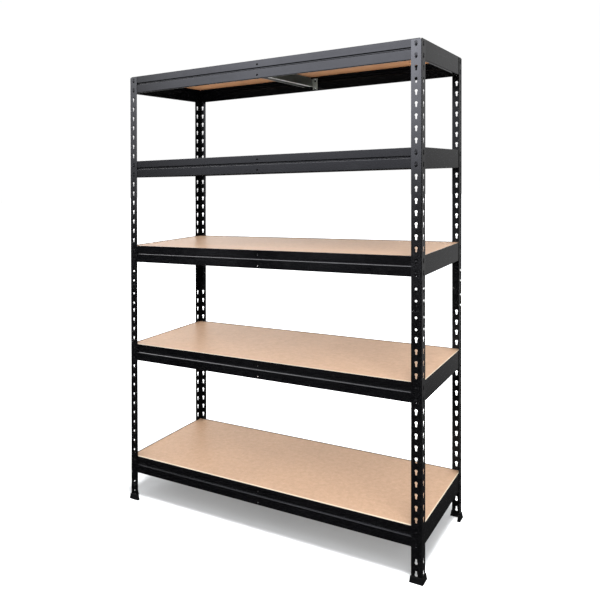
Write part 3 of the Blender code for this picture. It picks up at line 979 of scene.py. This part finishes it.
def moulded(name):
    """Black moulded plastic: fine grain, scuffs low down."""
    dark, light = (0.0016, 0.0016, 0.0018, 1), (0.0030, 0.0030, 0.0033, 1)
    scuffed = (0.010, 0.010, 0.0098, 1)
    plastic = Finish(name)
    grain = plastic.noise(scale=1500.0, detail=2.0, rough=0.6)
    cloud = plastic.noise(scale=60.0, detail=4.0, rough=0.6)
    z = plastic.axes()[2]
    scuff = plastic.times(plastic.span(z, within=(0.0, 12.0 * MM), to=(1.0, 0.0)),
                          plastic.span(plastic.noise(scale=260.0, detail=3.0, rough=0.7),
                                       within=(0.50, 0.70), to=(0.0, 0.8)))
    colour = plastic.blend(plastic.spread(cloud), dark, light)
    colour = plastic.blend(scuff, colour, scuffed)
    roughness = plastic.spread(cloud, 0.42, 0.54)
    return plastic.finish(colour, roughness, grain, depth=0.02 * MM, specular=0.12)


def box_size(node):
    low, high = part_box(node)
    return high - low


COAT_BEAM = powder_coat("powder_coat_beam", along=0)
COAT_POST = powder_coat("powder_coat_post", along=2, rough=0.17, specular=1.0)
# painted shade: the back posts take a copy of the post coat with less shine and more
# roughness, so they show darker
COAT_BACK_SHADED = powder_coat("powder_coat_back_post", along=2, rough=0.24, specular=0.35)
COAT_RIVET = powder_coat("powder_coat_rivet", along=1, rough=0.16, specular=0.30)
ZINC = galvanised_bar()
BRIGHT = bright_zinc_rivet()
MDF = fibreboard("mdf_board", box_size("board_shelf_1") / 2)
PLASTIC = moulded("moulded_foot")


# ----------------------------------------------------------------- placement
# Corner: side in X, side in Y, quarter turns from the front right
CORNERS = {"front_right": (1, -1, 0), "back_right": (1, 1, 1),
           "back_left": (-1, 1, 2), "front_left": (-1, -1, 3)}
SHELVES = sorted(int(n.rsplit("_", 1)[1]) for n in frame["nodes"]
                 if n.startswith("board_shelf_"))
BODY_OF_NODE = {node: body for body, members in
                frame["record"]["behaviour"]["bodies"].items() for node in members}


def put(name, mesh, material, where, quarters, node):
    """Object in place of a frame node; a mesh keeps the first material it gets."""
    if not mesh.materials:
        mesh.materials.append(material)
    obj = bpy.data.objects.new(name, mesh)
    bpy.context.scene.collection.objects.link(obj)
    obj.matrix_world = (Matrix.Translation(where)
                        @ Matrix.Rotation(math.radians(90 * quarters), 4, "Z"))
    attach(obj, BODY_OF_NODE[node])
    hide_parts(node)


def place_uprights():
    size = box_size("post_front_right_upper")
    posts = {side: post_mesh(size.z, size.x) for side in (-1, 1)}   # front, back
    posts[1].materials.append(COAT_BACK_SHADED)
    foot = foot_mesh(size.x)
    low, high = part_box("splice_front_right")
    joint_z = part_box("post_front_right_lower")[1].z
    splice = splice_mesh(high.z - joint_z, joint_z - low.z)
    rivets = splice_rivets()
    for corner, (side_x, side_y, quarters) in CORNERS.items():
        for half in ("lower", "upper"):
            node = f"post_{corner}_{half}"
            low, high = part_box(node)
            x = high.x if side_x > 0 else low.x
            y = high.y if side_y > 0 else low.y
            put(f"{node}_sheet", posts[side_y], COAT_POST, (x, y, high.z), quarters,
                node)
        # the splice and the foot share the upper half's outer corner
        joint = (x, y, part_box(f"post_{corner}_lower")[1].z)
        node = f"splice_{corner}"
        put(f"{node}_plate", splice, COAT_POST, joint, quarters, node)
        put(f"{node}_rivets", rivets, BRIGHT, joint, quarters, node)
        node = f"foot_{corner}"
        put(f"{node}_cap", foot, PLASTIC, (x, y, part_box(node)[0].z), quarters, node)


def place_shelves():
    first = SHELVES[0]
    size = box_size(f"beam_front_shelf_{first}")
    long_pair = (beam_mesh("long_beam_fine", size.x / 2, size.z, True),
                 beam_rivets(size.x / 2))
    size = box_size(f"side_beam_right_shelf_{first}")
    short_pair = (beam_mesh("short_beam_fine", size.y / 2, size.z, False),
                  beam_rivets(size.y / 2))
    bar = bar_mesh(*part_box(f"centre_bar_shelf_{first}"))
    board = board_mesh(box_size(f"board_shelf_{first}"))
    for number in SHELVES:
        for quarters, kind in enumerate(("beam_front", "side_beam_right", "beam_back",
                                         "side_beam_left")):
            node = f"{kind}_shelf_{number}"
            low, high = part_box(node)
            mid = (low + high) / 2
            # outer face, measured back from the ledge
            where = ((mid.x, high.y - LEDGE_REACH, high.z),
                     (low.x + LEDGE_REACH, mid.y, high.z),
                     (mid.x, low.y + LEDGE_REACH, high.z),
                     (high.x - LEDGE_REACH, mid.y, high.z))[quarters]
            beam, rivets = short_pair if quarters % 2 else long_pair
            put(f"{node}_sheet", beam, COAT_BEAM, where, quarters, node)
            put(f"{node}_rivets", rivets, COAT_RIVET, where, quarters, node)
        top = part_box(f"beam_front_shelf_{number}")[1].z
        node = f"centre_bar_shelf_{number}"
        put(f"{node}_channel", bar, ZINC, (0.0, 0.0, top), 0, node)
        node = f"board_shelf_{number}"
        low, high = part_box(node)
        put(f"{node}_panel", board, MDF,
            ((low.x + high.x) / 2, (low.y + high.y) / 2, low.z), 0, node)


place_uprights()
place_shelves()


# ------------------------------------------------------------ floor and light
WHITE = (1.0, 1.0, 1.0, 1)


def floor_material():
    """Even white glow away from the unit; over its footprint the glow fades to a dim
    patch, a painted shadow, so that the shadow beneath it shows.
    """
    material = bpy.data.materials.new("pale_floor")
    floor = Nodes(material)
    out = floor.add("ShaderNodeOutputMaterial")
    diffuse = floor.add("ShaderNodeBsdfDiffuse", {"Color": (0.455, 0.465, 0.475, 1)})
    x, y, _ = floor.axes()
    squares = []
    for position, half in ((x, 0.64), (y, 0.25)):    # half extents of the dim patch
        beyond = floor.minus(floor.size(position), half)
        beyond = floor.calc("MAXIMUM", beyond, 0.0)
        squares.append(floor.times(beyond, beyond))
    away = floor.calc("SQRT", floor.plus(*squares))
    # painted shadow: the floor's glow is weakest over the unit's footprint and grows away
    # from it
    glow = floor.add("ShaderNodeEmission",
                     {"Color": WHITE,
                      "Strength": floor.ease(away, within=(0.02, 0.55), to=(0.165, 1.1))})
    both = floor.add("ShaderNodeAddShader", {0: diffuse.outputs[0], 1: glow.outputs[0]})
    floor.tree.links.new(both.outputs[0], out.inputs["Surface"])
    return material


def make_floor():
    draft = bmesh.new()
    bmesh.ops.create_grid(draft, x_segments=4, y_segments=4, size=40.0)
    mesh = bpy.data.meshes.new("floor")
    draft.to_mesh(mesh)
    draft.free()
    mesh.materials.append(floor_material())
    obj = bpy.data.objects.new("floor", mesh)
    bpy.context.scene.collection.objects.link(obj)
    obj.location = (0.0, 0.0, CAD_BOX[0].z - 0.3 * MM)
    obj.visible_glossy = False
    return obj


# Brightness that shiny surfaces see by height: Z of the direction, strength
PANEL_STOPS = [(-1.0, 0.005), (-0.40, 0.007), (-0.20, 0.01), (-0.10, 0.015),
               (-0.05, 0.02), (-0.01, 0.24), (0.02, 1.25), (0.07, 1.9), (0.12, 2.4),
               (0.16, 3.9), (0.22, 5.0), (0.45, 4.8), (0.75, 3.0), (1.0, 3.0)]
RAMP_PEAK = 6.0             # strength at which the ramp would reach white


def panel_ramp(sky, z):
    ramp = sky.add("ShaderNodeValToRGB", {"Fac": sky.span(z, within=(-1.0, 1.0))})
    elements = ramp.color_ramp.elements
    while len(elements) > 1:
        elements.remove(elements[-1])
    for k, (level, strength) in enumerate(PANEL_STOPS):
        position = (level + 1) / 2
        stop = elements[0] if k == 0 else elements.new(position)
        stop.position = position
        stop.color = (strength / RAMP_PEAK,) * 3 + (1,)
    return sky.times(ramp.outputs["Color"], RAMP_PEAK)


def make_world():
    """Plain white to the camera, soft white to matt surfaces, and a studio of
    panels to shiny ones."""
    world = bpy.data.worlds.new("studio")
    bpy.context.scene.world = world
    sky = Nodes(world)
    out = sky.add("ShaderNodeOutputWorld")
    path = sky.add("ShaderNodeLightPath").outputs
    x, y, z = sky.axes("Generated")

    def toward(share_x, share_y):
        return sky.plus(sky.times(x, share_x), sky.times(y, share_y))

    # a large panel in front, to the left, fading high up
    shine = panel_ramp(sky, z)
    facing = toward(-0.45, -0.89)
    level = sky.calc("SQRT", sky.calc("MAXIMUM", sky.minus(1.0, sky.times(z, z)), 0.0001))
    bearing = sky.calc("DIVIDE", facing, level)
    panel = sky.ease(bearing, within=(0.942, 0.990), to=(0.05, 1.0))
    low_part = sky.ease(z, within=(0.60, 0.85), to=(1.0, 0.12))
    shine = sky.times(shine, sky.times(panel, low_part))
    # a bright overhead strip along X, just in front of the middle
    strip = sky.size(sky.plus(y, 0.18))
    strip = sky.times(sky.ease(strip, within=(0.06, 0.15), to=(10.0, 0.0)),
                      sky.ease(z, within=(0.62, 0.70)))
    shine = sky.plus(shine, strip)
    # a dimmer wall behind on the right, darkest at the horizon
    wall = sky.times(sky.ease(toward(0.35, 0.94), within=(0.2, 0.7)),
                     sky.times(sky.ease(z, within=(-0.45, -0.10), to=(0.03, 0.27)),
                               sky.ease(z, within=(0.0, 0.20), to=(1.0, 0.62))))
    wall = sky.times(wall, sky.ease(sky.size(z), within=(0.02, 0.08), to=(0.70, 1.0)))
    # a pale wall behind on the left, and ground just below the horizon
    pale = sky.times(sky.ease(toward(-0.85, 0.53), within=(0.78, 0.94), to=(0.32, 1.0)),
                     sky.times(sky.ease(z, within=(0.22, 0.12), to=(0.0, 6.5)),
                               sky.ease(z, within=(0.0, 0.04))))
    ground = sky.times(sky.ease(z, within=(0.0, -0.03), to=(0.0, 0.65)),
                       sky.times(sky.ease(y, within=(0.3, 0.6)),
                                 sky.ease(z, within=(-0.10, -0.05))))
    pale = sky.times(sky.plus(pale, ground),
                     sky.times(sky.ease(x, within=(-0.05, -0.25)),
                               sky.ease(y, within=(0.05, 0.30))))
    shine = sky.plus(shine, sky.plus(wall, pale))

    def background(colour, strength):
        return sky.add("ShaderNodeBackground", {"Color": colour, "Strength": strength}
                       ).outputs[0]

    def switch(ray, otherwise, chosen):
        return sky.add("ShaderNodeMixShader", {"Fac": path[ray], 1: otherwise, 2: chosen}
                       ).outputs[0]

    panel_tint = (0.955, 0.975, 1.10, 1)
    glossy = background(sky.blend(panel, WHITE, panel_tint), shine)
    soft = background(WHITE, sky.span(z, within=(-0.2, 1.0), to=(0.95, 1.25)))
    plain = background(WHITE, strength=1.01)
    mixed = switch("Is Camera Ray", switch("Is Glossy Ray", soft, glossy), plain)
    sky.tree.links.new(mixed, out.inputs["Surface"])


def area(name, where, target, size, power):
    light = bpy.data.lights.new(name, "AREA")
    light.shape = "RECTANGLE"
    light.size, light.size_y = size
    light.energy = power
    obj = bpy.data.objects.new(name, light)
    bpy.context.scene.collection.objects.link(obj)
    obj.location = where
    obj.rotation_euler = (Vector(target) - Vector(where)).to_track_quat(
        "-Z", "Y").to_euler()
    obj.visible_glossy = False
    return obj


floor_object = make_floor()
make_world()
area("key_softbox", where=(1.9, -2.4, 3.0), target=(0.0, 0.0, 0.9), size=(2.4, 2.0),
     power=90.0)
floor_light = area("floor_softbox", where=(1.5, -1.7, 5.2), target=(0.0, 0.0, 0.0),
                   size=(1.3, 1.3), power=1020.0)
only_floor = bpy.data.collections.new("floor_only")
only_floor.objects.link(floor_object)
floor_light.light_linking.receiver_collection = only_floor


# -------------------------------------------------------------------- camera
CAMERA_PLACE = (1.3204, -2.4119, 1.3594)
CAMERA_YAW, CAMERA_PITCH, CAMERA_ROLL = (math.radians(a) for a in (31.747, 0.428, -1.673))
FILM_WIDTH = 36.0           # millimetres, as are the next three
FILM_DISTANCE = 40.1514     # lens to film plane, along the lens axis
FILM_RIGHT = 2.8146         # picture centre from the lens axis
FILM_UP = -7.0068
FILM_SKEW = 0.0275          # lean of the film's up axis against its right axis


def make_camera():
    """View camera: its film plane is shifted and very slightly skewed.

    ahead, right and up are the lens axis, the film's right and the film's up.
    The offset of the film is carried by a parent's matrix, so the camera data
    has no shift and every other view stays centred."""
    cos_pitch = math.cos(CAMERA_PITCH)
    ahead = Vector((-math.sin(CAMERA_YAW) * cos_pitch, math.cos(CAMERA_YAW) * cos_pitch,
                    -math.sin(CAMERA_PITCH)))
    right = Vector((math.cos(CAMERA_YAW), math.sin(CAMERA_YAW), 0.0))
    up = right.cross(ahead)
    cos_roll, sin_roll = math.cos(CAMERA_ROLL), math.sin(CAMERA_ROLL)
    right, up = right * cos_roll + up * sin_roll, up * cos_roll - right * sin_roll
    rise = FILM_UP / FILM_DISTANCE
    side = FILM_RIGHT / FILM_DISTANCE - FILM_SKEW * rise
    centre = ahead + right * side + up * rise
    data = bpy.data.cameras.new("camera")
    data.sensor_width = FILM_WIDTH
    data.lens = FILM_DISTANCE * centre.length
    data.clip_end = 200.0
    obj = bpy.data.objects.new("camera", data)
    bpy.context.scene.collection.objects.link(obj)
    mount = bpy.data.objects.new("camera_mount", None)
    bpy.context.scene.collection.objects.link(mount)
    film = Matrix((right, (up - right * FILM_SKEW).normalized(),
                   -centre.normalized())).transposed().to_4x4()
    obj.parent = mount
    obj.matrix_parent_inverse = Matrix.Translation(CAMERA_PLACE) @ film
    bpy.context.scene.camera = obj


make_camera()
bpy.context.scene.view_settings.view_transform = "Standard"
